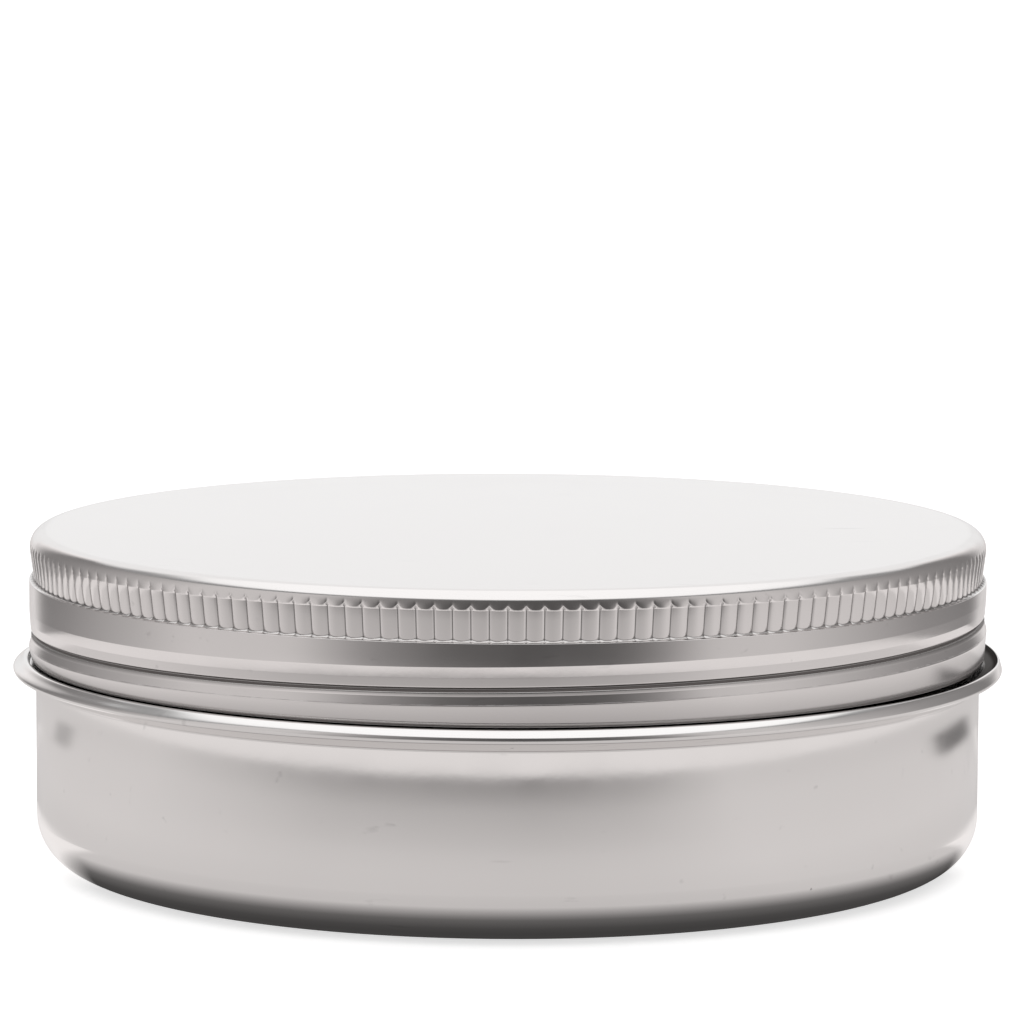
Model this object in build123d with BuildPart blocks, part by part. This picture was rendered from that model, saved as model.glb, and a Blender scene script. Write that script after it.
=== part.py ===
from build123d import *
from math import cos, pi, radians, sin, tan
import os

# A round screw-lid tin drawn from thin aluminium sheet: a can with a rolled bead, a neck and a
# rolled thread, a knurled lid with the matching thread, and a sealing disc inside the lid.
# All lengths are in millimetres. The origin is the middle of the face that the tin stands on,
# +Z is up, and the front of the tin faces -Y.

# The tin as a whole
bead_diameter = 83.0
total_height = 28.0
sheet = 0.3
overrun = 2.0

# The can
wall_diameter = 79.2
bottom_corner_radius = 4.1
standing_ring_width = 1.8
panel_rise = 0.5
panel_step_width = 0.9
panel_bend_radius = 0.6
bead_height = 16.55
bead_tip_radius = 0.35
bead_lower_slope = 25.0
bead_upper_slope = 50.0
bead_lip_height = 17.3
bead_lip_radius = 0.35
gutter_height = 16.9
gutter_slope = 60.0
can_bend_radius = 0.3
neck_diameter = 76.8
rim_curl_radius = 0.6
rim_curl_turn = 235.0

# The sealing disc
liner_thickness = 1.0
liner_gap = 0.1
liner_side_clearance = 0.1
seal_gap = 0.2

# The lid
band_diameter = 80.4
knurl_diameter = 80.0
crown_radius = 1.3
knurl_foot_drop = 3.65
knurl_foot_height = 0.3
skirt_edge_diameter = 79.3
skirt_curve_height = 2.75
lid_edge_rise = 0.05

# The knurl pressed round the lid
rib_count = 176
valley_depth = 0.15
valley_half_width = 0.43
valley_end_gap = 0.1

# The thread rolled into the lid and the neck, right handed and about one turn long
thread_pitch = 3.2
thread_front_rise = 3.1
thread_full_turn = 300.0
thread_fade_turn = 40.0
thread_point_turn = 10.0
groove_depth = 1.2
groove_floor_radius = 0.4
groove_upper_slope = 55.0
groove_lower_slope = 30.0
groove_upper_bend_radius = 0.9
groove_lower_bend_radius = 0.5
crest_height = 0.65
crest_radius = 0.45
crest_slope = 45.0
crest_bend_radius = 0.4
thread_clearance = 0.25
surface_skim = 0.02

# Radii and heights worked out from the sizes above
bead_radius = bead_diameter / 2
wall_radius = wall_diameter / 2
neck_radius = neck_diameter / 2
band_radius = band_diameter / 2
knurl_radius = knurl_diameter / 2
skirt_edge_radius = skirt_edge_diameter / 2
lid_inside_top = total_height - sheet
liner_top = lid_inside_top - liner_gap
liner_bottom = liner_top - liner_thickness
liner_radius = knurl_radius - crown_radius - liner_side_clearance
rim_top = liner_bottom - seal_gap
curl_centre_height = rim_top - rim_curl_radius
ring_outer_radius = wall_radius - bottom_corner_radius
ring_inner_radius = ring_outer_radius - standing_ring_width
panel_radius = ring_inner_radius - panel_step_width
crown_foot = total_height - crown_radius
knurl_foot = total_height - knurl_foot_drop


def helix_path(radius, front_height, fade_shift):
    """The thread's centre line. At both ends it eases sideways by fade_shift, so what is swept
    along it sinks gently into the wall or out of it."""
    half_turn = thread_full_turn / 2 + thread_fade_turn
    steps = round(2 * half_turn / thread_point_turn)
    points = []
    for step in range(steps + 1):
        turn = -half_turn + step * 2 * half_turn / steps
        past_full = max(0.0, abs(turn) - thread_full_turn / 2) / thread_fade_turn
        reach = radius + fade_shift * (1 - cos(pi * past_full)) / 2
        height = front_height + thread_pitch * turn / 360
        points.append((reach * sin(radians(turn)), -reach * cos(radians(turn)), height))
    return Spline(*points)


def section_plane(path):
    """A sketch plane across the start of a path, with x away from the tin's axis and y up."""
    start = path @ 0
    return Plane(origin=start, x_dir=Vector(start.X, start.Y, 0), z_dir=-(path % 0))


def bend_corner(slope_up, slope_down, crest, radius, side):
    """Where two flanks would meet if the bend between them were sharp. crest is how far the
    rounded bend reaches from the wall, and side is 1 for outwards and -1 for inwards."""
    half_opening = radians(slope_up + slope_down) / 2
    lean = radians(slope_up - slope_down) / 2
    away = radius / sin(half_opening)
    return (side * (crest - radius + away * cos(lean)), -away * sin(lean))


def rolled_outline(slope_up, slope_down, crest, radius, upper_bend, lower_bend, side):
    """The outline of a rolled groove or ridge, from its upper edge to its lower edge, with x
    measured from the wall. Its ends lie just clear of the wall, so the bends run into it."""
    skim = -side * surface_skim
    corner_x, corner_y = bend_corner(slope_up, slope_down, crest, radius, side)
    depth = abs(corner_x - skim)
    upper_y = corner_y + depth * tan(radians(slope_up))
    lower_y = corner_y - depth * tan(radians(slope_down))
    with BuildLine() as outline:
        FilletPolyline(
            (skim, upper_y + upper_bend),
            (skim, upper_y),
            (corner_x, corner_y),
            (skim, lower_y),
            (skim, lower_y - lower_bend),
            radius=[upper_bend, radius, lower_bend],
        )
    return outline.wires()[0]


def inner_skin(outer_line, side):
    """The sheet's inner line, one sheet thickness from its outer line."""
    line = offset(outer_line, amount=sheet, side=side, closed=False, mode=Mode.PRIVATE)
    return line.wires()[0]


def close_outline(line, *corners):
    """Joins the end of an open outline to its start by straight lines through the corners."""
    first = line @ 0
    last = line @ 1
    add(line)
    Polyline((last.X, last.Y), *corners, (first.X, first.Y))


# The bead leans out from the wall to its tip, rises to a rounded lip beside the lid's edge, and
# falls behind the lip into a shallow gutter that runs round the neck
bead_corner_x, bead_corner_rise = bend_corner(
    bead_upper_slope, bead_lower_slope, bead_radius, bead_tip_radius, 1
)
bead_corner_height = bead_height + bead_corner_rise
bead_root_height = bead_corner_height - (bead_corner_x - wall_radius) * tan(radians(bead_lower_slope))
lip_half_opening = pi / 2 - radians(bead_upper_slope + gutter_slope) / 2
lip_lean = radians(bead_upper_slope - gutter_slope) / 2
lip_away = bead_lip_radius / sin(lip_half_opening)
lip_corner_height = bead_lip_height - bead_lip_radius + lip_away * cos(lip_lean)
lip_corner_x = bead_corner_x - (lip_corner_height - bead_corner_height) / tan(radians(bead_upper_slope))
gutter_corner_x = lip_corner_x - (lip_corner_height - gutter_height) / tan(radians(gutter_slope))
lid_edge_height = bead_lip_height + lid_edge_rise
skirt_curve_top = lid_edge_height + skirt_curve_height
thread_front_height = lid_edge_height + thread_front_rise

# The lid's groove and the can's ridge share one lead. The ridge lies above the groove, one
# clearance away, so the lid's inner ridge bears up against it when the lid is tight.
groove_corner_x, groove_corner_y = bend_corner(
    groove_upper_slope, groove_lower_slope, groove_depth, groove_floor_radius, -1
)
crest_centre_x = neck_radius + crest_height - crest_radius - band_radius
flank_reach = sheet + thread_clearance + crest_radius
flank_reach += (crest_centre_x - groove_corner_x) * sin(radians(groove_upper_slope))
ridge_rise = groove_corner_y + flank_reach / cos(radians(groove_upper_slope))

groove_path = helix_path(band_radius, thread_front_height, groove_depth + sheet)
ridge_path = helix_path(neck_radius, thread_front_height + ridge_rise, -crest_height - sheet)
groove_outline = rolled_outline(
    groove_upper_slope,
    groove_lower_slope,
    groove_depth,
    groove_floor_radius,
    groove_upper_bend_radius,
    groove_lower_bend_radius,
    -1,
)
crest_outline = rolled_outline(
    crest_slope, crest_slope, crest_height, crest_radius, crest_bend_radius, crest_bend_radius, 1
)
groove_inner_outline = inner_skin(groove_outline, Side.RIGHT)
crest_inner_outline = inner_skin(crest_outline, Side.RIGHT)

# The lid's sheet from the middle of the top to the skirt's edge, x from the axis and y up
skirt_lean = band_radius - skirt_edge_radius
skirt_arc_radius = (skirt_curve_height**2 + skirt_lean**2) / (2 * skirt_lean)
with BuildLine() as lid_wall:
    Line((0, total_height), (knurl_radius - crown_radius, total_height))
    RadiusArc(
        (knurl_radius - crown_radius, total_height), (knurl_radius, crown_foot), crown_radius
    )
    Polyline(
        (knurl_radius, crown_foot),
        (knurl_radius, knurl_foot),
        (band_radius, knurl_foot - knurl_foot_height),
        (band_radius, skirt_curve_top),
    )
    RadiusArc((band_radius, skirt_curve_top), (skirt_edge_radius, lid_edge_height), skirt_arc_radius)
lid_outer_line = lid_wall.wires()[0]
lid_inner_line = inner_skin(lid_outer_line, Side.RIGHT)

# The room inside the lid, with the thread's inner ridge left standing in it
room_floor = lid_edge_height - overrun
with BuildPart() as lid_room:
    with BuildSketch(Plane.XZ):
        with BuildLine():
            mouth = lid_inner_line @ 1
            close_outline(lid_inner_line, (mouth.X, room_floor), (0, room_floor))
        make_face()
    revolve(axis=Axis.Z)
    with BuildSketch(section_plane(groove_path)):
        with BuildLine():
            top = groove_inner_outline @ 0
            foot = groove_inner_outline @ 1
            close_outline(groove_inner_outline, (overrun, foot.Y), (overrun, top.Y))
        make_face()
    sweep(path=groove_path, is_frenet=True, mode=Mode.SUBTRACT)

# The screw lid: crown, knurl, plain band, rolled groove and skirt
valley_radius = knurl_radius - valley_depth
flare = 1 + overrun / valley_depth
with BuildPart() as screw_lid:
    with BuildSketch(Plane.XZ):
        with BuildLine():
            close_outline(lid_outer_line, (0, lid_edge_height))
        make_face()
    revolve(axis=Axis.Z)
    with BuildSketch(section_plane(groove_path)):
        with BuildLine():
            top = groove_outline @ 0
            foot = groove_outline @ 1
            close_outline(groove_outline, (overrun, foot.Y), (overrun, top.Y))
        make_face()
    sweep(path=groove_path, is_frenet=True, mode=Mode.SUBTRACT)
    with BuildSketch(Plane.XY.offset(knurl_foot + valley_end_gap)):
        with PolarLocations(0, rib_count):
            Polygon(
                (valley_radius, 0),
                (valley_radius + valley_depth * flare, valley_half_width * flare),
                (valley_radius + valley_depth * flare, -valley_half_width * flare),
                align=None,
            )
    extrude(amount=crown_foot - knurl_foot - 2 * valley_end_gap, mode=Mode.SUBTRACT)
    add(lid_room.part, mode=Mode.SUBTRACT)
screw_lid.part.label = "screw_lid"

# The sealing disc that sits in the lid's crown and presses on the can's rim
with BuildPart() as lid_liner:
    with BuildSketch(Plane.XY.offset(liner_bottom)):
        Circle(liner_radius)
    extrude(amount=liner_thickness)
lid_liner.part.label = "lid_liner"

# The can's sheet from the middle of the bottom to the top of the neck, x from the axis, y up
with BuildLine() as can_wall:
    FilletPolyline(
        (0, panel_rise),
        (panel_radius, panel_rise),
        (ring_inner_radius, 0),
        (wall_radius, 0),
        (wall_radius, bead_root_height),
        (bead_corner_x, bead_corner_height),
        (lip_corner_x, lip_corner_height),
        (gutter_corner_x, gutter_height),
        (neck_radius, gutter_height),
        (neck_radius, curl_centre_height),
        radius=[
            panel_bend_radius,
            panel_bend_radius,
            bottom_corner_radius,
            can_bend_radius,
            bead_tip_radius,
            bead_lip_radius,
            can_bend_radius,
            can_bend_radius,
        ],
    )
can_outer_line = can_wall.wires()[0]
can_inner_line = inner_skin(can_outer_line, Side.LEFT)

# The room inside the can, reaching out behind the neck's rolled ridge
room_top = curl_centre_height + overrun
with BuildPart() as can_room:
    with BuildSketch(Plane.XZ):
        with BuildLine():
            mouth = can_inner_line @ 1
            close_outline(can_inner_line, (mouth.X, room_top), (0, room_top))
        make_face()
    revolve(axis=Axis.Z)
    with BuildSketch(section_plane(ridge_path)):
        with BuildLine():
            top = crest_inner_outline @ 0
            foot = crest_inner_outline @ 1
            close_outline(crest_inner_outline, (-overrun, foot.Y), (-overrun, top.Y))
        make_face()
    sweep(path=ridge_path, is_frenet=True)

# The base can: recessed bottom, wall, bead, threaded neck and inward curled rim
with BuildPart() as base_can:
    with BuildSketch(Plane.XZ):
        with BuildLine():
            close_outline(can_outer_line, (0, curl_centre_height))
        make_face()
    revolve(axis=Axis.Z)
    with BuildSketch(section_plane(ridge_path)):
        with BuildLine():
            top = crest_outline @ 0
            foot = crest_outline @ 1
            close_outline(crest_outline, (-overrun, foot.Y), (-overrun, top.Y))
        make_face()
    sweep(path=ridge_path, is_frenet=True)
    add(can_room.part, mode=Mode.SUBTRACT)
    curl_centre = (neck_radius - rim_curl_radius, curl_centre_height)
    with BuildSketch(Plane.XZ):
        with BuildLine():
            outer_curl = CenterArc(curl_centre, rim_curl_radius, 0, rim_curl_turn)
            inner_curl = CenterArc(curl_centre, rim_curl_radius - sheet, 0, rim_curl_turn)
            Line(outer_curl @ 0, inner_curl @ 0)
            Line(outer_curl @ 1, inner_curl @ 1)
        make_face()
    revolve(axis=Axis.Z)
base_can.part.label = "base_can"

os.makedirs("parts", exist_ok=True)
for piece in (base_can, screw_lid, lid_liner):
    export_step(piece.part, f"parts/{piece.part.label}.step")
    print(piece.part.label, "solids", len(piece.part.solids()), "volume", round(piece.part.volume, 1))
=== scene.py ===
# %% [markdown]
# # A round screw-lid tin of satin aluminium
# The real tin is drawn from thin aluminium sheet in two strokes of a press: a can with a sharp
# rolled bead, and a lid with a knurled edge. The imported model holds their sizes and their
# motion. This script dresses it: it spins the two sheets again with many more rows than the
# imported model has, because satin metal shows every flat facet, and gives them their finish.

# %% Load the frame
import bmesh
import bpy
from math import atan2, cos, pi, radians, sin, tan
from mathutils import Matrix, Vector


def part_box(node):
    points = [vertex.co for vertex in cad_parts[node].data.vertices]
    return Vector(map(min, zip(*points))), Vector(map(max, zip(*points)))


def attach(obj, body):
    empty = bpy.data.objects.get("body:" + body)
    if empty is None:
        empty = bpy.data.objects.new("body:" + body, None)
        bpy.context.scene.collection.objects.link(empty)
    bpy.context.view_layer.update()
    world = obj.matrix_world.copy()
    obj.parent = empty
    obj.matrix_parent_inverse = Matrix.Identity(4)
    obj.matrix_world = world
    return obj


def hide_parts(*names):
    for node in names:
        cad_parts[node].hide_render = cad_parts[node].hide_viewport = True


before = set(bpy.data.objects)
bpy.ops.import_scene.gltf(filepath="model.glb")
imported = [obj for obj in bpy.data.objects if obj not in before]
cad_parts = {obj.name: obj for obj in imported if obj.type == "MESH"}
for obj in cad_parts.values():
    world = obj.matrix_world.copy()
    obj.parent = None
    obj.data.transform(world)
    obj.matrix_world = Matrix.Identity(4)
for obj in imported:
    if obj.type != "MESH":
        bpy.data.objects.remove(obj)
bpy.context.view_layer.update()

# %% [markdown]
# Every size below is a real one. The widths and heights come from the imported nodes' boxes, and
# the small bends of the sheet, which a box can't tell, are named in millimetres.

# %% Sizes
mm = 0.001
sheet = 0.3 * mm
band_inset = 0.08 * mm
lid_low, lid_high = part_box("screw_lid")
can_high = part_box("base_can")[1]
band_radius = lid_high.x - band_inset
lid_top = lid_high.z
lid_edge = lid_low.z
bead_radius = can_high.x
rim_top = can_high.z
print("lid edge and top in mm", round(lid_edge / mm, 2), round(lid_top / mm, 2))

# %% [markdown]
# Both pieces are turned shapes. They could be lofted or modelled face by face, but a press and a
# rolling wheel make them round their axis, so each starts as one section line, which is spun.
# The line is drawn from corners with rounded bends, as the press tool rounds the sheet, and two
# corners' bends are joined by a straight run.

# %% Section lines
guard = 0.025 * mm


def turn_at(before, corner, after):
    """Half the angle at a corner, and the two directions that leave it."""
    back = (Vector(before) - Vector(corner)).normalized()
    ahead = (Vector(after) - Vector(corner)).normalized()
    return back.angle(ahead) / 2, back, ahead


def section_line(corners):
    """Points along a section. A corner is (radius, height, bend, steps); a bend of 0 stays sharp.
    A row just outside each bend, a guard's width off, keeps the straight sheet flat to the eye."""
    points = []
    for index, (x, z, bend, steps) in enumerate(corners):
        if not bend or index in (0, len(corners) - 1):
            points.append(Vector((x, z)))
            continue
        corner = Vector((x, z))
        half, back, ahead = turn_at(corners[index - 1][:2], corner, corners[index + 1][:2])
        reach = bend / tan(half)
        centre = corner + (back + ahead).normalized() * bend / sin(half)
        start = corner + back * reach - centre
        sweep = start.angle_signed(corner + ahead * reach - centre)
        points.append(corner + back * (reach + guard))
        for step in range(steps + 1):
            points.append(centre + Matrix.Rotation(-sweep * step / steps, 2) @ start)
        points.append(corner + ahead * (reach + guard))
    return points


def part_way(first, second, share):
    """A plain row on the straight sheet between two corners, for section_line."""
    x, z = (a * (1 - share) + b * share for a, b in zip(first, second))
    return x, z, 0, 0


def rolled_line(start, bends):
    """Points along arcs that follow one another from a start. A bend is (radius, first, last,
    steps), and its two angles say how many degrees above level the sheet's outside faces."""
    points = [Vector(start)]
    for radius, first, last, steps in bends:
        centre = points[-1] - Vector((cos(radians(first)), sin(radians(first)))) * radius
        for step in range(1, steps + 1):
            turn = radians(first + (last - first) * step / steps)
            points.append(centre + Vector((cos(turn), sin(turn))) * radius)
    return points


def inside_line(points):
    """The same section one sheet thickness further in, walked the other way."""
    moved = []
    for index, point in enumerate(points):
        before = points[max(index - 1, 0)]
        after = points[min(index + 1, len(points) - 1)]
        along = (after - before).normalized()
        moved.append(point + Vector((-along.y, along.x)) * sheet)
    return moved[::-1]


right_angle = section_line([(0, 0, 0, 0), (0.01, 0, mm, 6), (0.01, 0.01, 0, 0)])
print("a right angle rounded in 6 steps takes", len(right_angle), "rows")

# %% [markdown]
# `bmesh.ops.spin` carries a section round the axis. A mesh that is fine everywhere would be
# heavy, so the spin has few steps and only the outside, which is seen, is cut finer. Each vertex
# remembers its true radius, because a cut lies on a straight chord, a little inside the round.

# %% Spinning
weld = 0.0005 * mm


def runs_round(edge, skin, reach, fine_radius):
    """Whether an edge runs level round the outside of the sheet, beyond the fine radius."""
    first, second = edge.verts
    return (first[skin] > 0.5 and second[skin] > 0.5 and first[reach] > fine_radius
            and first[reach] == second[reach] and first.co.z == second.co.z)


def spun_mesh(name, points, outside_count, steps, fine_radius, cuts):
    """A section spun once round the axis in so many steps. The first outside_count points are
    the outside of the sheet, and where they lie beyond fine_radius each step is cut finer: cuts
    lists (height, count), and a row takes the count of the first height that it lies above."""
    made = bmesh.new()
    skin = made.verts.layers.float.new("skin")
    reach = made.verts.layers.float.new("radius")
    line = []
    for index, point in enumerate(points):
        vertex = made.verts.new((point.x, 0, point.y))
        vertex[skin] = 1.0 if index < outside_count else 0.0
        vertex[reach] = point.x
        line.append(vertex)
    for first, second in zip(line, line[1:]):
        made.edges.new((first, second))
    bmesh.ops.spin(made, geom=made.verts[:] + made.edges[:], cent=(0, 0, 0), axis=(0, 0, 1),
                   dvec=(0, 0, 0), angle=2 * pi, steps=steps, use_merge=True,
                   use_duplicate=False)
    bmesh.ops.remove_doubles(made, verts=made.verts, dist=weld)
    above = float("inf")
    for height, count in cuts:
        rings = [edge for edge in made.edges if runs_round(edge, skin, reach, fine_radius)
                 and height < edge.verts[0].co.z <= above]
        bmesh.ops.subdivide_edges(made, edges=rings, cuts=count, use_grid_fill=True)
        above = height
    bmesh.ops.recalc_face_normals(made, faces=made.faces)
    print(name, "vertices", len(made.verts), "faces", len(made.faces))
    return made


# %% [markdown]
# What isn't round is pressed in afterwards, as on the real tin. A sculpting brush or a lattice
# could do it, but a plain function of radius, angle and height gives exact sizes. The finished
# mesh is then named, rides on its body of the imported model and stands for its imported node.

# %% Bending and finishing
def bend_mesh(made, shape):
    """Moves each vertex to the radius, angle and height that shape gives for its place, and
    notes how much painted shade darkens it there, from 0 to 1, where it lies in a recess."""
    painted_shade = made.verts.layers.float.new("painted_shade")
    skin = made.verts.layers.float["skin"]
    reach = made.verts.layers.float["radius"]
    for vertex in made.verts:
        turn = atan2(vertex.co.x, -vertex.co.y)
        # the shape also gives each vertex its painted shade, from 0 to 1
        radius, turn, z, vertex[painted_shade] = shape(vertex[reach], turn, vertex.co.z,
                                                vertex[skin] > 0.5)
        vertex.co = (radius * sin(turn), -radius * cos(turn), z)


def finished(made, name, body, node_name, material):
    """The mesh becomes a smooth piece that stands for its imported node."""
    mesh = bpy.data.meshes.new(name)
    made.to_mesh(mesh)
    made.free()
    mesh.shade_smooth()
    mesh.materials.append(material)
    piece = bpy.data.objects.new(name, mesh)
    bpy.context.scene.collection.objects.link(piece)
    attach(piece, body)
    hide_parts(node_name)
    return piece


print("angles start at the front, and the right side is at", 180 / pi * atan2(1, 0), "degrees")

# %% [markdown]
# The finish comes before the shapes, so that each piece is finished in one step. Patterns could
# be painted as images, but noise on object coordinates has a real size in millimetres and no
# seams. Bumps are laid over one another, each with the height of a pressed and handled sheet.

# %% Material helpers
def linear(hex_colour):
    """An sRGB hex colour as the linear RGBA that the shaders want."""
    channels = [int(hex_colour[place:place + 2], 16) / 255 for place in (1, 3, 5)]
    return [c / 12.92 if c <= 0.04045 else ((c + 0.055) / 1.055) ** 2.4 for c in channels] + [1]


def add_node(tree, kind, inputs=None, out=0, stops=(), **settings):
    """One node with its settings and links; gives back one of its outputs. An input is a plain
    value or another node's output. A ramp's stops are (place from 0 to 1, grey level)."""
    made = tree.nodes.new(kind)
    for name, value in settings.items():
        setattr(made, name, value)
    for name, value in (inputs or {}).items():
        if isinstance(value, bpy.types.NodeSocket):
            tree.links.new(value, made.inputs[name])
        else:
            made.inputs[name].default_value = value
    for index, (place, level) in enumerate(stops):
        elements = made.color_ramp.elements
        element = elements[index] if index < 2 else elements.new(place)
        element.position = place
        element.color = (level, level, level, 1)
    return made.outputs[out] if made.outputs else None


def in_mm(tree, place, across, up):
    """Object coordinates counted in spots so many millimetres across and so many up."""
    spot = (1 / (across * mm), 1 / (across * mm), 1 / (up * mm))
    return add_node(tree, "ShaderNodeMapping", {"Vector": place, "Scale": spot})


def sheet_bumps(tree, place, layers):
    """Very low bumps laid over one another. A layer is (millimetres across, millimetres up,
    height in millimetres)."""
    normal = None
    for across, up, height in layers:
        spots = {"Vector": in_mm(tree, place, across, up), "Scale": 1.0, "Detail": 2.0}
        noise = add_node(tree, "ShaderNodeTexNoise", spots, "Fac")
        links = {"Height": noise, "Distance": height * mm, "Strength": 1.0}
        if normal:
            links["Normal"] = normal
        normal = add_node(tree, "ShaderNodeBump", links)
    return normal


print("light grey #EEEBEA is linear", [round(channel, 3) for channel in linear("#EEEBEA")])

# %% [markdown]
# Drawing the sheet pulls a grain up the sides, and the flat top and bottom have none. The real
# grain is some hundredths of a millimetre wide, too fine to show, so its bumps are drawn 0.25 mm
# wide. Under it lie the very low waves of the press, and over it the marks of handling.

# %% Grain and unevenness
grain_start, grain_full = 38.2 * mm, 38.8 * mm
unevenness = -0.015, 0.025
pressed_waves = (9, 6, 0.004)
drawn_grain = (0.25, 3, 0.0002)
handling = (0.5, 0.5, 0.0003)


def side_share(tree, place):
    """1 on the sides, where the sheet was drawn and has its grain, and 0 on the flats."""
    flat_place = add_node(tree, "ShaderNodeVectorMath", {0: place, 1: (1, 1, 0)},
                          operation="MULTIPLY")
    reach = add_node(tree, "ShaderNodeVectorMath", {0: flat_place}, "Value", operation="LENGTH")
    return add_node(tree, "ShaderNodeMapRange",
                    {"Value": reach, "From Min": grain_start, "From Max": grain_full})


def uneven_satin(tree, place, roughness):
    """The satin's roughness, a little uneven over spots of 5 mm."""
    spots = {"Vector": in_mm(tree, place, 5, 5), "Scale": 1.0, "Detail": 4.0}
    cloud = add_node(tree, "ShaderNodeTexNoise", spots, "Fac")
    return add_node(tree, "ShaderNodeMapRange",
                    {"Value": cloud, "From Min": 0.3, "From Max": 0.7,
                     "To Min": roughness + unevenness[0], "To Max": roughness + unevenness[1]})


print("grain starts", round(grain_start / mm, 1), "mm from the axis")

# %% [markdown]
# Wear on such a tin is slight: faint scuffs from other tins in the box, and a dark speck here
# and there. The scuffs are stretched noise, cut off so high that only its peaks are left, and
# the specks are the very middles of random cells.

# %% Wear
scuff_stretch = (0.16, 1.3, 0.9)
scuff_slant = radians(14)
speck_spacing = 7


def scuffs_and_specks(tree, place):
    """Faint slanting scuffs, and specks 0.2 mm wide, one to a cell."""
    slant = {"Vector": in_mm(tree, place, 1, 1), "Scale": scuff_stretch,
             "Rotation": (0, 0, scuff_slant)}
    spots = {"Vector": add_node(tree, "ShaderNodeMapping", slant), "Scale": 1.0, "Detail": 3.0}
    scuff = add_node(tree, "ShaderNodeTexNoise", spots, "Fac")
    scuffed = add_node(tree, "ShaderNodeMapRange",
                       {"Value": scuff, "From Min": 0.68, "From Max": 0.78, "To Max": 0.12})
    spread = {"Vector": in_mm(tree, place, speck_spacing, speck_spacing), "Scale": 1.0,
              "Randomness": 1.0}
    cells = add_node(tree, "ShaderNodeTexVoronoi", spread, "Distance")
    speck = add_node(tree, "ShaderNodeMapRange",
                     {"Value": cells, "From Min": 0.008, "From Max": 0.02,
                      "To Min": 0.4, "To Max": 0.0})
    return add_node(tree, "ShaderNodeMath", {0: scuffed, 1: speck}, operation="MAXIMUM")


print("scuffs are some", round(1 / scuff_stretch[0], 1), "mm long")

# %% [markdown]
# Satin aluminium has a fine, even, slightly blurred shine. On the sides the grain blurs what it
# mirrors sideways and keeps it sharp up and down: that is anisotropy, with a tangent that runs
# round the axis. Plain satin aluminium has a roughness of 0.2 to 0.3, but here the grain gives
# most of the blur, so a value near 0.1 matches the tin. In the recesses painted shade darkens the
# metal's colour and its grazing tint, and the metal is rougher there. The same dark colour
# darkens the scuffs and specks of wear.

# %% Satin aluminium
# painted shade: the dark colour and extra roughness given to the recesses; the same colour darkens
# the scuffs and specks of wear
recess_roughness = 0.6
wear_and_shade_colour = "#2E2A28"


def satin_aluminium(name, colour, roughness):
    """The whole finish, which reads the mesh's own painted_shade attribute for its painted shade.
    """
    material = bpy.data.materials.new(name)
    material.use_nodes = True
    tree = material.node_tree
    shader = tree.nodes["Principled BSDF"]
    shader.inputs["Metallic"].default_value = 1.0
    place = add_node(tree, "ShaderNodeTexCoord", out="Object")
    painted_shade = add_node(tree, "ShaderNodeAttribute", out="Fac", attribute_name="painted_shade")
    worn = scuffs_and_specks(tree, place)
    # painted shade in the recesses and real wear both darken the base colour
    wear_and_painted_shade = add_node(tree, "ShaderNodeMath", {0: worn, 1: painted_shade}, operation="MAXIMUM")
    coarse = add_node(tree, "ShaderNodeMath", {0: painted_shade, 1: recess_roughness},
                      operation="MULTIPLY")
    rough = add_node(tree, "ShaderNodeMath",
                     {0: uneven_satin(tree, place, roughness), 1: coarse}, operation="MAXIMUM")
    tint = add_node(tree, "ShaderNodeMix", {0: wear_and_painted_shade, 6: linear(colour), 7: linear(wear_and_shade_colour)},
                    out=2, data_type="RGBA")
    # painted shade: the reflection's grazing tint is darkened in the recesses
    painted_shade_edge_tint = add_node(tree, "ShaderNodeMix",
                         {0: painted_shade, 6: linear("#FFFFFF"), 7: linear(wear_and_shade_colour)},
                         out=2, data_type="RGBA")
    around = add_node(tree, "ShaderNodeTangent", direction_type="RADIAL", axis="Z")
    bumps = sheet_bumps(tree, place, [pressed_waves, drawn_grain, handling])
    for socket, value in (("Base Color", tint), ("Specular Tint", painted_shade_edge_tint),
                          ("Roughness", rough), ("Anisotropic", side_share(tree, place)),
                          ("Tangent", around), ("Normal", bumps)):
        tree.links.new(value, shader.inputs[socket])
    print(name, "has", len(tree.nodes), "nodes")
    return material


lid_metal = satin_aluminium("satin aluminium lid", "#EEEBEA", 0.11)
can_metal = satin_aluminium("satin aluminium can", "#F1EFEE", 0.1)

# %% [markdown]
# The lid is a shallow drawn cap: a flat top, a rounded crown, a knurled edge that gives the
# fingers grip, a plain band, a rolled thread groove and a skirt. Its knurl has 176 pads, which
# lean in a little to the foot, with a narrow crease pressed between each two of them.

# %% Lid sizes
crown_radius = 1.3 * mm
crown_lower_radius = 1.6 * mm
crown_start = 38.74 * mm
pad_slope = 7.5
pad_foot = lid_top - 3.98 * mm
pad_foot_row = 0.12 * mm
step_height = 0.1 * mm
rib_count = 176
thread_pitch = 3.2 * mm
groove_height = lid_edge + 3.2 * mm
groove_depth = 0.5 * mm
lower_bead_height = lid_edge + 1.72 * mm
lower_bead_radius = band_radius + 0.05 * mm
skirt_edge_radius = band_radius - 0.16 * mm
print("pads", rib_count, "each", round(2 * pi * crown_start / rib_count / mm, 2), "mm wide")

# %% [markdown]
# The lid's section starts at the middle of the top. The crown is rolled in two arcs, and the rest
# follows from corner to corner: down the pads, out over the step to the band, in at the groove,
# and round the skirt's edge. The inside, which hardly shows, has fewer rows.

# %% Lid section
crown = rolled_line((crown_start, lid_top), [
    (crown_radius, 90, 20, 12),
    (crown_lower_radius, 20, -pad_slope, 9),
])
knurl_radius, pad_top = crown[-1]
slope = tan(radians(pad_slope))
pad_foot_radius = knurl_radius - (pad_top - pad_foot) * slope
pad_head_point = (knurl_radius, pad_top)
pad_foot_point = (pad_foot_radius, pad_foot)
lower_bead_point = (lower_bead_radius, lower_bead_height)
skirt_edge_point = (skirt_edge_radius, lid_edge)

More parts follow.
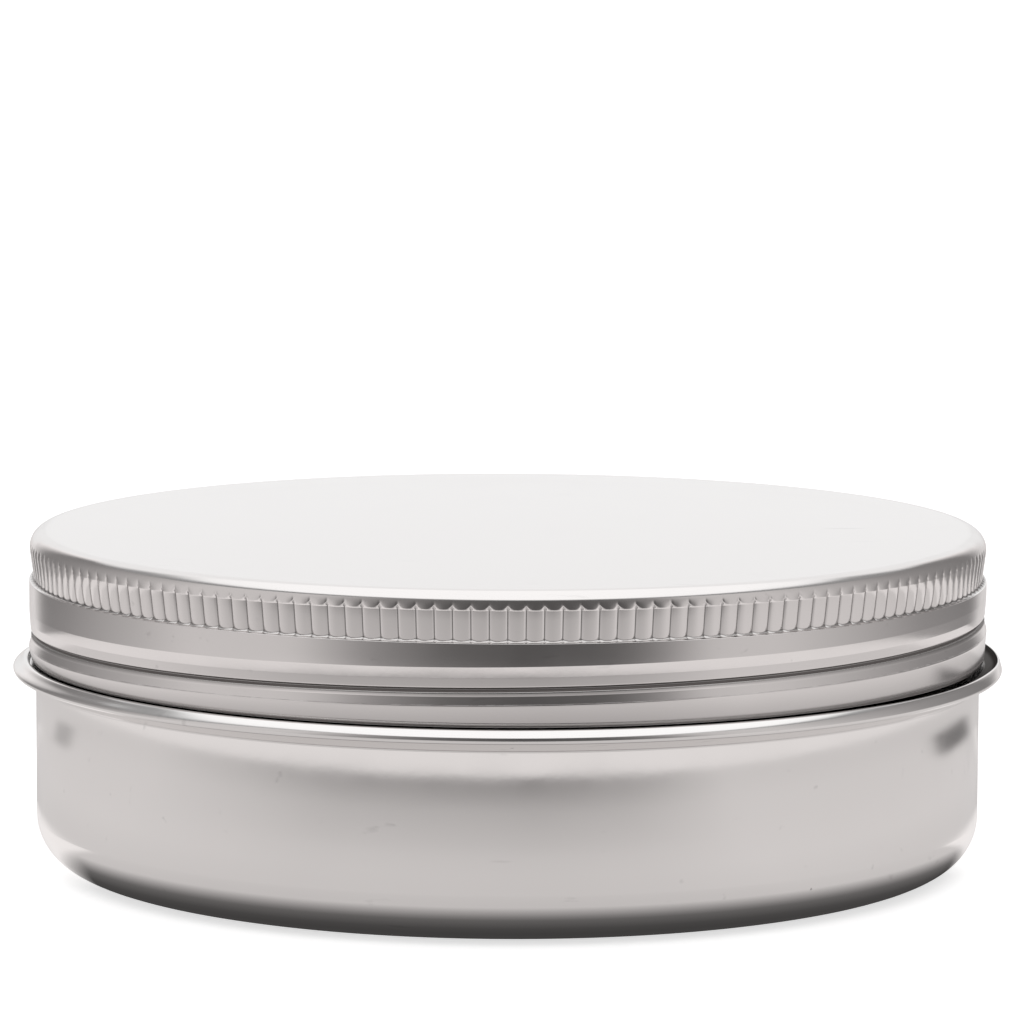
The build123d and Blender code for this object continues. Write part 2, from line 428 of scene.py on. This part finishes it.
# (mm out from the band, mm up from the groove, bend in mm, steps), from the band downwards
groove_corners = [
    (0, 1.55, 0.7, 6),
    (-0.05, 0.7, 0.6, 3),
    (-0.11, -0.04, 0.1, 3),
    (-groove_depth / mm, -0.2, 0.08, 4),
    (-0.14, -0.45, 0.12, 3),
    (-0.142, -0.8, 0.15, 3),
    (0.03, -1.35, 0.3, 3),
]
lid_outer = [Vector((0, lid_top))] + crown
lid_outer += section_line([
    part_way(pad_head_point, pad_foot_point, 0.3),
    part_way(pad_head_point, pad_foot_point, 0.7),
    (pad_foot_radius + pad_foot_row * slope, pad_foot + pad_foot_row, 0, 0),
    (pad_foot_radius + guard * slope, pad_foot + guard, 0, 0),
    (*pad_foot_point, 0, 0),
    (band_radius, pad_foot - step_height, 0.06 * mm, 3),
    *[(band_radius + out * mm, groove_height + up * mm, bend * mm, steps)
      for out, up, bend, steps in groove_corners],
    (*lower_bead_point, 0.5 * mm, 4),
    part_way(skirt_edge_point, lower_bead_point, 0.25),
    part_way(skirt_edge_point, lower_bead_point, 0.14),
    (*skirt_edge_point, 0.08 * mm, 4),
    (skirt_edge_radius - 0.5 * sheet, lid_edge, 0, 0),
])
lid_inner = section_line([
    (skirt_edge_radius - sheet, lid_edge + 0.1 * mm, 0, 0),
    (band_radius - sheet, lower_bead_height, 1.5 * mm, 3),
    (band_radius - 0.1 * mm - sheet, groove_height - 0.7 * mm, 0.3 * mm, 2),
    (band_radius - groove_depth - sheet, groove_height, 0.4 * mm, 4),
    (band_radius - sheet, groove_height + 1.8 * mm, 0.8 * mm, 3),
    (band_radius - sheet, pad_foot - step_height, 0, 0),
    (pad_foot_radius - sheet, pad_foot, 0, 0),
    (knurl_radius - sheet, pad_top, 0, 0),
])
lid_inner += rolled_line((crown_start, lid_top - sheet), [(crown_radius - sheet, 90, 0, 5)])[::-1]
lid_inner.append(Vector((0, lid_top - sheet)))
print("lid rows outside", len(lid_outer), "and inside", len(lid_inner))

# %% [markdown]
# A thread is a helix, which a plain spin can't give. The groove climbs one pitch a turn, so the
# rows of the spun mesh are slid up and down with it and stay parallel to it: a bend then needs
# few rows and stays crisp. Behind, the thread fades out and the rows ease back to where the turn
# starts, as the real one runs out at both ends.

# %% Thread
thread_full_turn, thread_end_turn = radians(140), radians(175)
rows_ease_from, rows_ease_to = radians(150), radians(180)
groove_rows_top = groove_height + 1.75 * mm


def smooth_share(value, low, high):
    """0 below low, 1 above high, and smooth between them."""
    share = min(max((value - low) / (high - low), 0.0), 1.0)
    return share * share * (3 - 2 * share)


def helix_lift(turn):
    """How far the groove has climbed at this angle from the front, easing back behind."""
    climb = thread_pitch * turn / (2 * pi)
    return climb * (1 - smooth_share(abs(turn), rows_ease_from, rows_ease_to))


def thread_share(turn):
    """1 round the front, fading to 0 where the thread runs out behind."""
    return 1 - smooth_share(abs(turn), thread_full_turn, thread_end_turn)


def in_groove_rows(height):
    """How much of the climb a row follows: all of it at the groove, none at the knurl or edge."""
    band_top = pad_foot - step_height
    below = (height - lid_edge) / (lower_bead_height - lid_edge)
    above = (band_top - height) / (band_top - groove_rows_top)
    return min(max(below, 0.0), max(above, 0.0), 1.0)


print("the thread climbs", round((helix_lift(1) - helix_lift(-1)) / mm, 2), "mm over 2 radians")

# %% [markdown]
# The knurl could be cut with booleans, but it is pressed into the sheet, so the vertices are
# pressed in too. Each pad takes eight columns, which crowd at the crease: a wide shallow valley
# with a narrow crease at its middle, which runs out to a point in the crown above.

# %% Knurl
column_shares = (0, 0.05, 0.17, 0.33, 0.5, 0.67, 0.83, 0.95)
valley_half, crease_half = 0.33, 0.05
valley_depth = 0.1 * mm
crease_depth = 0.07 * mm
valley_tip = lid_top - 0.9 * mm
valley_rise = 0.55 * mm
valley_foot_lift = 0.12 * mm


def on_rib(turn):
    """The angle moved to this rib's own columns, the valley's depth there, and how near its
    middle that is, from 0 to 1."""
    ribs = turn / (2 * pi) * rib_count
    column = round((ribs % 1.0) * len(column_shares)) % len(column_shares)
    share = column_shares[column]
    whole = round(ribs - column / len(column_shares))
    near = min(share, 1 - share)
    valley = max(0.0, 1 - near / valley_half)
    depth = valley_depth * valley + crease_depth * max(0.0, 1 - near / crease_half)
    return (whole + share) / rib_count * 2 * pi, depth, valley


print("columns round the knurl", rib_count * len(column_shares))

# %% [markdown]
# The lid's mesh brings these together. Light hardly reaches the creases, the pads' feet, the
# groove and the skirt's edge, so the shape also says how much painted shade darkens the metal
# there.

# %% Lid
# painted shade: how dark the creases, the pads' feet, the groove and the skirt's edge are painted,
# from 0 to 1
crease_painted_shade = 0.75
foot_painted_shade = 0.3
groove_painted_shade, groove_edge_painted_shade = 0.5, 0.35
groove_shade_head, groove_shade_foot = groove_height - 0.05 * mm, groove_height - 0.62 * mm
groove_side_foot = groove_height - 0.44 * mm
edge_shade_start, edge_shade_most, edge_shade_rise = 0.8, 0.5, 0.6 * mm
crease_shade_rise = 0.4 * mm


def groove_shade_amount(z):
    """How much painted shade darkens the groove's lower side, and the strip under it."""
    if not groove_shade_foot < z < groove_shade_head:
        return 0.0
    return groove_painted_shade if z > groove_side_foot else groove_edge_painted_shade


def skirt_edge_shade_amount(z):
    """How much painted shade darkens the skirt's foot: most at the edge, and none a little above
    it.
    """
    above_edge = max(z - lid_edge, 0.0)
    return min(edge_shade_start * (1 - above_edge / edge_shade_rise), edge_shade_most)


def lid_shape(radius, turn, z, outside):
    """The thread's groove and the knurl, pressed into the plain spun lid."""
    # painted shade, from 0 to 1, darkens the metal where light hardly reaches
    painted_shade = 0.0
    if radius < crown_start - 0.5 * mm:
        return radius, turn, z, painted_shade
    if z < pad_foot - 0.5 * step_height:
        plain = band_radius - (0 if outside else sheet)
        if z > lower_bead_height:
            radius = plain - (plain - radius) * thread_share(turn)
        if outside and z < lid_edge + edge_shade_rise:
            painted_shade = skirt_edge_shade_amount(z)
        elif outside:
            painted_shade = groove_shade_amount(z) * thread_share(turn)
        z += helix_lift(turn) * in_groove_rows(z)
    elif outside and z < valley_tip:
        turn, depth, valley = on_rib(turn)
        radius -= depth * min((valley_tip - z) / valley_rise, 1.0)
        if depth > valley_depth:
            painted_shade = crease_painted_shade * smooth_share(pad_top - z, -crease_shade_rise, 0)
        if z < pad_foot + 2 * guard:
            painted_shade = max(painted_shade, foot_painted_shade)
        if z < pad_foot + pad_foot_row + 0.01 * mm:
            z += valley_foot_lift * valley
    elif outside:
        turn = on_rib(turn)[0]
    return radius, turn, z, painted_shade


# (height above which a row is cut, times that each of its steps is cut)
knurl_cuts = (pad_foot - 0.5 * step_height, len(column_shares) - 1)
skirt_cuts = (0, 2)
lid_mesh = spun_mesh("lid", lid_outer + lid_inner, len(lid_outer), rib_count,
                     crown_start - 0.1 * mm, [knurl_cuts, skirt_cuts])
bend_mesh(lid_mesh, lid_shape)
lid_piece = finished(lid_mesh, "lid_sheet", "lid", "screw_lid", lid_metal)
print("lid spans in mm", [round(size / mm, 2) for size in lid_piece.dimensions])

# %% [markdown]
# The can is made the same way. Its outside line runs from the middle of the recessed bottom,
# round the corner, up the wall and over the bead, down into the gutter behind the bead's lip,
# and up the neck, past its rolled thread, to the rim, which is curled in to be safe to touch.

# %% Can sizes
wall_radius = 39.6 * mm
corner_bend = 4.1 * mm
ring_radius = wall_radius - corner_bend
panel_radius = ring_radius - 2.7 * mm
panel_slope = 0.9 * mm
panel_rise = 0.5 * mm
bead_root = 15.45 * mm
bead_tip = (41.15 * mm, 16.55 * mm)
bead_bend = 0.35 * mm
bead_first, bead_under, bead_over, bead_last = -65, 25, 52, 120
lip_height = 17.3 * mm
gutter_height = 16.9 * mm
neck_radius = 38.4 * mm
thread_foot = 20.9 * mm
thread_height = 21.74 * mm
thread_head = 22.6 * mm
thread_stand = 0.83 * mm
curl_radius = 0.6 * mm
curl_turn = 235
curl_centre = rim_top - curl_radius
print("can bead and rim in mm", round(bead_radius / mm, 2), round(rim_top / mm, 2))

# %% [markdown]
# The bead is the can's sharpest form: a tight bend out, a broad rounded lip, and a tight bend
# back. It is rolled as three arcs, and the rest of the can's section is drawn from corners.

# %% Can section
facing = radians(bead_first)
bead_start = Vector(bead_tip) + Vector((cos(facing), sin(facing))) * bead_bend
bead_line = rolled_line(bead_start, [
    (bead_bend, bead_first, bead_under, 8),
    (1.6 * mm, bead_under, bead_over, 6),
    (bead_bend, bead_over, bead_last, 7),
])
lip_back = bead_line[-1]
can_outer = section_line([
    (0, panel_rise, 0, 0),
    (panel_radius * 0.5, panel_rise, 0, 0),
    (panel_radius, panel_rise, 0.6 * mm, 3),
    (panel_radius + panel_slope, 0, 0.6 * mm, 3),
    (wall_radius, 0, corner_bend, 16),
    (wall_radius, 8 * mm, 0, 0),
    (wall_radius, 13 * mm, 0, 0),
    (wall_radius, bead_root, 0.15 * mm, 4),
    (bead_start.x, bead_start.y, 0, 0),
])
can_outer += bead_line[1:]
can_outer += section_line([
    (lip_back.x - 0.1 * mm, lip_back.y - 0.17 * mm, 0, 0),
    (lip_back.x - 0.25 * mm, gutter_height, 0.15 * mm, 3),
    (skirt_edge_radius + 0.15 * mm, gutter_height, 0, 0),
    (skirt_edge_radius - 0.1 * mm, gutter_height, 0, 0),
    (neck_radius, gutter_height, 0.3 * mm, 4),
    (neck_radius, thread_foot, 0.4 * mm, 4),
    (neck_radius + thread_stand, thread_height, 0.45 * mm, 6),
    (neck_radius, thread_head, 0.4 * mm, 4),
    (neck_radius, curl_centre, 0, 0),
])
can_inner = inside_line(can_outer)
can_inner[-1].x = 0
outer_curl = rolled_line((neck_radius, curl_centre), [(curl_radius, 0, curl_turn, 14)])[1:]
inner_curl = rolled_line((neck_radius - sheet, curl_centre),
                         [(curl_radius - sheet, 0, curl_turn, 12)])[:0:-1]
can_points = can_outer + outer_curl + inner_curl + can_inner
print("can rows", len(can_points))

# %% [markdown]
# On the photographed tin the bead's lip isn't quite round: it leans out at the right, where a
# dark pocket opens behind it, and hugs the lid at the left. The lean grows from the gutter to
# the lip's tip, so the wall and the bead's outside stay round.

# %% Can
right_lean, far_right_lean, left_lean = 0.25 * mm, 0.25 * mm, 0.35 * mm
lean_foot, lean_head = gutter_height - 0.35 * mm, lip_height - 0.15 * mm
# painted shade: how dark the pocket inside the lip at the right and the gutter under the lid are
# painted
pocket_painted_shade = 0.85
under_lid_painted_shade = 0.2
can_steps = 120
every_row_cuts = (-1, 3)


def swell(turn, low, high, fall_from=130, fall_to=170):
    """0 to 1 over an angle's low and high degrees, and back to 0 over the second pair."""
    return (smooth_share(turn, radians(low), radians(high))
            * (1 - smooth_share(turn, radians(fall_from), radians(fall_to))))


def lip_lean(radius, turn, z):
    """How far the lip leans out at this place, or in if it is below 0."""
    if not (lean_foot < z < lip_height + 0.1 * mm and radius > lip_back.x - 0.3 * mm):
        return 0.0
    to_tip = min((bead_radius - radius) / (bead_radius - lip_back.x), 1.0)
    out = right_lean * swell(turn, 35, 60) + far_right_lean * swell(turn, 70, 84)
    return (out * to_tip - left_lean * swell(-turn, 20, 65)) * smooth_share(z, lean_foot, lean_head)


def gutter_shade_amount(radius, turn, z):
    """How much painted shade darkens the gutter: a little under the lid, and much inside the lip at
    the right.
    """
    if z > gutter_height - 0.1 * mm:
        if z < gutter_height + 0.5 * mm and radius < skirt_edge_radius:
            return under_lid_painted_shade
        if z < lip_height + 0.03 * mm and radius < lip_back.x + 0.05 * mm:
            return pocket_painted_shade * swell(turn, 60, 76, 115, 130)
    return 0.0


def can_shape(radius, turn, z, outside):
    """The lip's lean and the neck's helical thread, pressed into the plain spun can."""
    # painted shade in the gutter and the pocket
    painted_shade = gutter_shade_amount(radius, turn, z) if outside else 0.0
    radius += lip_lean(radius, turn, z)
    if gutter_height + 0.5 * mm < z < curl_centre and radius > neck_radius - 1.5 * sheet:
        plain = neck_radius - (0 if outside else sheet)
        radius = plain + (radius - plain) * thread_share(turn)
        below = (z - gutter_height) / (thread_foot - gutter_height)
        above = (curl_centre - z) / (curl_centre - thread_head)
        z += helix_lift(turn) * min(below, above, 1.0)
    return radius, turn, z, painted_shade


can_mesh = spun_mesh("can", can_points, len(can_outer) + len(outer_curl), can_steps,
                     ring_radius, [every_row_cuts])
bend_mesh(can_mesh, can_shape)
can_piece = finished(can_mesh, "can_sheet", "can", "base_can", can_metal)
print("can spans in mm", [round(size / mm, 2) for size in can_piece.dimensions])

# %% [markdown]
# The sealing disc is closed-cell foam cut from sheet: matt white, with fine cells. Its packed
# mesh is right as it is, so it stays and only gets its material. Real cells are about 0.2 mm
# wide, and they are drawn 0.35 mm wide so that they can show.

# %% Sealing disc
cell_width = 0.35
cell_dimple = 0.03 * mm
foam = bpy.data.materials.new("cut closed-cell foam")
foam.use_nodes = True
tree = foam.node_tree
shader = tree.nodes["Principled BSDF"]
shader.inputs["Roughness"].default_value = 0.8
place = add_node(tree, "ShaderNodeTexCoord", out="Object")
cell_size = {"Vector": in_mm(tree, place, cell_width, cell_width), "Scale": 1.0}
cells = add_node(tree, "ShaderNodeTexVoronoi", cell_size, "Distance")
white = add_node(tree, "ShaderNodeMix", {0: cells, 6: linear("#EDECE8"), 7: linear("#DAD8D2")},
                 out=2, data_type="RGBA")
dimples = add_node(tree, "ShaderNodeBump",
                   {"Height": cells, "Distance": cell_dimple, "Strength": 1.0}, invert=True)
tree.links.new(white, shader.inputs["Base Color"])
tree.links.new(dimples, shader.inputs["Normal"])
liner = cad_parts["lid_liner"]
liner.data.materials.clear()
liner.data.materials.append(foam)
print("sealing disc in mm", [round(size / mm, 2) for size in liner.dimensions])

# %% [markdown]
# Metal shows its surroundings, so the studio is half of its look. The tin stands on a pale
# floor. Round it the metal sees a ring of cards, and beyond them a plain soft world. Many lamps
# could do the same, but levels that run round the tin by its angle are easier to set.

# %% Angles round the tin
def angle_round(tree, place):
    """The angle round the tin's axis, 0 at the front and growing to the right."""
    parts = add_node(tree, "ShaderNodeSeparateXYZ", {0: place}).node.outputs
    forward = add_node(tree, "ShaderNodeMath", {0: parts["Y"], 1: -1.0}, operation="MULTIPLY")
    return add_node(tree, "ShaderNodeMath", {0: parts["X"], 1: forward}, operation="ARCTAN2")


def share_round(tree, place):
    """The same angle as a share: 0 and 1 behind, 0.5 at the front."""
    return add_node(tree, "ShaderNodeMath", {0: angle_round(tree, place), 1: 0.5 / pi, 2: 0.5},
                    operation="MULTIPLY_ADD")


def by_turn(tree, share, stops):
    """A level that changes round the tin. A stop is (degrees from the front, level)."""
    return add_node(tree, "ShaderNodeValToRGB", {0: share},
                    stops=[(0.5 + turn / 360, level) for turn, level in stops])


print("left, front and right as shares", [0.5 + turn / 360 for turn in (-90, 0, 90)])

# %% [markdown]
# The floor is a plain sheet of pale paper, laid a hair under the tin so that the two surfaces
# don't lie in one another.

# %% Floor sheet
floor_gap = 0.05 * mm
floor_half_width = 6
floor_mesh = bmesh.new()
bmesh.ops.create_grid(floor_mesh, x_segments=1, y_segments=1, size=floor_half_width)
floor_data = bpy.data.meshes.new("floor")
floor_mesh.to_mesh(floor_data)
floor_mesh.free()
floor = bpy.data.objects.new("floor", floor_data)
floor.location.z = -floor_gap
bpy.context.scene.collection.objects.link(floor)
print("floor lies", floor_gap / mm, "mm under the tin")

# %% [markdown]
# What the metal sees in the floor: dark in the tin's own shade, pale beyond it, with a darker
# patch in front, in the camera's shade, a small darker patch at each side, and light patches near
# the sides and behind. A level by distance times a level by angle makes each of them.

# %% What the metal sees in the floor
floor_reach = 200 * mm
floor_material = bpy.data.materials.new("pale paper floor")
floor_material.use_nodes = True
tree = floor_material.node_tree
tree.nodes.clear()
place = add_node(tree, "ShaderNodeTexCoord", out="Object")
away = add_node(tree, "ShaderNodeVectorMath", {0: place}, "Value", operation="LENGTH")
apart = add_node(tree, "ShaderNodeMath", {0: away, 1: 1 / floor_reach}, operation="MULTIPLY")
turned = share_round(tree, place)


def by_distance(stops):
    """A level that changes away from the tin. A stop is (millimetres from its axis, level)."""
    return add_node(tree, "ShaderNodeValToRGB", {0: apart},
                    stops=[(reach * mm / floor_reach, level) for reach, level in stops])


def floor_mark(turn_stops, distance_stops):
    """A mark on the floor: its level by angle times its level by distance."""
    return add_node(tree, "ShaderNodeMath",
                    {0: by_turn(tree, turned, turn_stops), 1: by_distance(distance_stops)},
                    operation="MULTIPLY")


shade = by_distance([(38, 0.06), (40, 0.15), (41.2, 0.34), (43.6, 0.64), (70, 0.71), (100, 0.69),
                     (117.6, 0.65), (118.6, 0.82)])
patch = floor_mark(
    [(-78, 0.0), (-52, 0.25), (-34, 0.5), (-8, 0.6), (6, 0.66), (24, 0.5), (44, 0.03)],
    [(60, 0.12), (78, 0.2), (84, 0.3), (100, 0.48), (117.4, 1.0), (118.4, 0.0)])
# a darker patch at each side, seen only in the metal
side_dark_patch = floor_mark(
    [(-121, 0.0), (-117, 0.4), (-111, 0.4), (-108, 0.0),
     (103, 0.0), (108, 0.75), (124, 0.75), (130, 0.0)],
    [(90, 0.0), (95, 1.0), (104, 1.0), (108, 0.0)])
near_side = floor_mark(
    [(-130, 0.0), (-118, 0.95), (-80, 0.95), (-64, 0.0),
     (76, 0.0), (88, 0.95), (118, 0.95), (130, 0.0)],
    [(50, 1.0), (60, 0.0)])
behind = floor_mark(
    [(-150, 0.0), (-137, 0.9), (-98, 0.0), (104, 0.0), (137, 0.9), (150, 0.0)],
    [(90, 0.95), (100, 0.0)])
dark = add_node(tree, "ShaderNodeMath", {0: patch, 1: side_dark_patch}, operation="MAXIMUM")
kept = add_node(tree, "ShaderNodeMath", {0: 1.0, 1: dark}, operation="SUBTRACT")
shade = add_node(tree, "ShaderNodeMath", {0: shade, 1: kept}, operation="MULTIPLY")
light = add_node(tree, "ShaderNodeMath", {0: near_side, 1: behind}, operation="MAXIMUM")
shade = add_node(tree, "ShaderNodeMath", {0: shade, 1: light}, operation="MAXIMUM")
print("floor levels use", len(tree.nodes), "nodes")

# %% [markdown]
# The paper itself is a matt light grey that takes the tin's shadow. For the camera alone it
# glows to a clean white, and for the metal it shows the levels above.

# %% Floor paper
paper_glow = 0.66
paper = add_node(tree, "ShaderNodeBsdfDiffuse", {"Color": linear("#E8E8E8")})
glow = add_node(tree, "ShaderNodeEmission", {"Color": linear("#FFFFFF"), "Strength": paper_glow})
mirrored = add_node(tree, "ShaderNodeEmission", {"Color": linear("#FFFBFA"), "Strength": shade})
lit = add_node(tree, "ShaderNodeAddShader", {0: paper, 1: glow})
rays = add_node(tree, "ShaderNodeLightPath").node.outputs
seen = add_node(tree, "ShaderNodeMixShader", {0: rays["Is Camera Ray"], 1: paper, 2: lit})
both = add_node(tree, "ShaderNodeMixShader", {0: rays["Is Glossy Ray"], 1: seen, 2: mirrored})
add_node(tree, "ShaderNodeOutputMaterial", {"Surface": both})
floor_data.materials.append(floor_material)
print("floor material", floor_material.name, len(tree.nodes), "nodes")

# %% [markdown]
# The ring of cards stands round the tin, open behind. Only the metal sees it. Its levels run
# round from a bright left side through a dark front, where the camera is, to a bright right
# side, and its foot is lighter in front, where the floor lights it.

# %% Cards' brightness
card_foot = 3.5 * mm
lit_foot_height = 11 * mm
lit_foot_level, lit_foot_most = 0.55, 0.75
card_strength = 1.15
card_material = bpy.data.materials.new("ring of cards")
card_material.use_nodes = True
tree = card_material.node_tree
tree.nodes.clear()
place = add_node(tree, "ShaderNodeTexCoord", out="Object")
turned = share_round(tree, place)
grey = by_turn(tree, turned, [
    (-140, 0.95), (-127, 0.17), (-110, 0.23), (-81, 0.42), (-67, 0.56), (-42, 0.54),
    (-27, 0.25), (-12, 0.11), (5, 0.08), (20, 0.1), (29, 0.2), (40, 0.52), (55, 0.54),
    (81, 0.36), (97, 0.25), (127, 0.17), (138, 0.8)])
up = add_node(tree, "ShaderNodeSeparateXYZ", {0: place}, "Z")
near_foot = add_node(tree, "ShaderNodeMapRange",
                     {"Value": up, "From Min": lit_foot_height, "From Max": card_foot,
                      "To Max": lit_foot_level})
in_front = by_turn(tree, turned, [(-52, 0.1), (-30, 1.0), (30, 1.0), (52, 0.1)])
lit_foot = add_node(tree, "ShaderNodeMath", {0: near_foot, 1: in_front}, operation="MULTIPLY")
lifted = add_node(tree, "ShaderNodeMath", {0: grey, 1: lit_foot}, operation="ADD")
lifted = add_node(tree, "ShaderNodeMath", {0: lifted, 1: lit_foot_most}, operation="MINIMUM")
level = add_node(tree, "ShaderNodeMath", {0: grey, 1: lifted}, operation="MAXIMUM")
warm = add_node(tree, "ShaderNodeVectorMath", {0: linear("#FFFBFA")[:3], "Scale": level},
                operation="SCALE")
shine = add_node(tree, "ShaderNodeEmission", {"Color": warm, "Strength": card_strength})
add_node(tree, "ShaderNodeOutputMaterial", {"Surface": shine})
print("card material", len(tree.nodes), "nodes")

# %% [markdown]
# The ring itself is one upright edge, spun round the tin from one side of the back to the other.

# %% Card ring
card_radius = 115 * mm
card_height = 90 * mm
card_sweep = 280
card_steps = 80
ring_mesh = bmesh.new()
foot = ring_mesh.verts.new((0, -card_radius, card_foot))
head = ring_mesh.verts.new((0, -card_radius, card_foot + card_height))
ring_mesh.edges.new((foot, head))
bmesh.ops.rotate(ring_mesh, verts=ring_mesh.verts[:], cent=(0, 0, 0),
                 matrix=Matrix.Rotation(radians(-card_sweep / 2), 3, "Z"))
bmesh.ops.spin(ring_mesh, geom=ring_mesh.verts[:] + ring_mesh.edges[:], cent=(0, 0, 0),
               axis=(0, 0, 1), dvec=(0, 0, 0), angle=radians(card_sweep), steps=card_steps,
               use_duplicate=False)
ring_data = bpy.data.meshes.new("card_ring")
ring_mesh.to_mesh(ring_data)
ring_mesh.free()
ring_data.materials.append(card_material)
ring = bpy.data.objects.new("card_ring", ring_data)
bpy.context.scene.collection.objects.link(ring)
ring.visible_camera = False
ring.visible_diffuse = False
ring.visible_shadow = False
ring.visible_transmission = False
print("card ring", len(ring_data.polygons), "faces")

# %% [markdown]
# The world is a soft studio: a white ceiling above the cards, a white backdrop behind the tin,
# and a dim room elsewhere. The camera sees plain white, as in a product photograph.

# %% World
ceiling_from, ceiling_to, ceiling_level = radians(42), radians(50), 1.1
backdrop_from, backdrop_to, backdrop_level = radians(120), radians(150), 0.93
room_level = 0.3
world = bpy.data.worlds.new("soft studio")
bpy.context.scene.world = world
world.use_nodes = True
tree = world.node_tree
tree.nodes.clear()
way = add_node(tree, "ShaderNodeTexCoord", out="Generated")
height = add_node(tree, "ShaderNodeSeparateXYZ", {0: way}, "Z")
up_angle = add_node(tree, "ShaderNodeMath", {0: height}, operation="ARCSINE")
turned = add_node(tree, "ShaderNodeMath", {0: angle_round(tree, way)}, operation="ABSOLUTE")
ceiling = add_node(tree, "ShaderNodeMapRange",
                   {"Value": up_angle, "From Min": ceiling_from, "From Max": ceiling_to,
                    "To Max": ceiling_level}, interpolation_type="SMOOTHSTEP")
backdrop = add_node(tree, "ShaderNodeMapRange",
                    {"Value": turned, "From Min": backdrop_from, "From Max": backdrop_to,
                     "To Max": backdrop_level}, interpolation_type="SMOOTHSTEP")
level = add_node(tree, "ShaderNodeMath", {0: ceiling, 1: backdrop}, operation="MAXIMUM")
level = add_node(tree, "ShaderNodeMath", {0: level, 1: room_level}, operation="MAXIMUM")
camera_ray = add_node(tree, "ShaderNodeLightPath", out="Is Camera Ray")
shown = add_node(tree, "ShaderNodeMath", {0: level, 1: camera_ray}, operation="MAXIMUM")
background = add_node(tree, "ShaderNodeBackground",
                      {"Color": linear("#FFFFFF"), "Strength": shown})
add_node(tree, "ShaderNodeOutputWorld", {"Surface": background})
print("world", len(tree.nodes), "nodes")

# %% [markdown]
# The camera stands where the photograph was taken from. Its distance, height and lens were fitted
# to the ellipses of the lid's top and the can's foot, and it looks down at about seven degrees.

# %% Camera
picture_width = 1024
lens_in_pixels = 5502
camera_distance = 458.6 * mm
camera_height = 85.5 * mm
camera_pan, camera_tilt, camera_roll = -0.0007, 0.1221, 0.0037  # radians
camera_data = bpy.data.cameras.new("camera")
camera_data.sensor_width = 36
camera_data.lens = lens_in_pixels / picture_width * camera_data.sensor_width
camera = bpy.data.objects.new("camera", camera_data)
camera.location = (0, -camera_distance, camera_height)
look = (Matrix.Rotation(camera_pan, 4, "Z") @ Matrix.Rotation(radians(90) - camera_tilt, 4, "X")
        @ Matrix.Rotation(camera_roll, 4, "Z"))
camera.rotation_euler = look.to_euler()
bpy.context.scene.collection.objects.link(camera)
bpy.context.scene.camera = camera
bpy.context.scene.view_settings.view_transform = "Standard"
print("lens", round(camera_data.lens, 1), "mm")
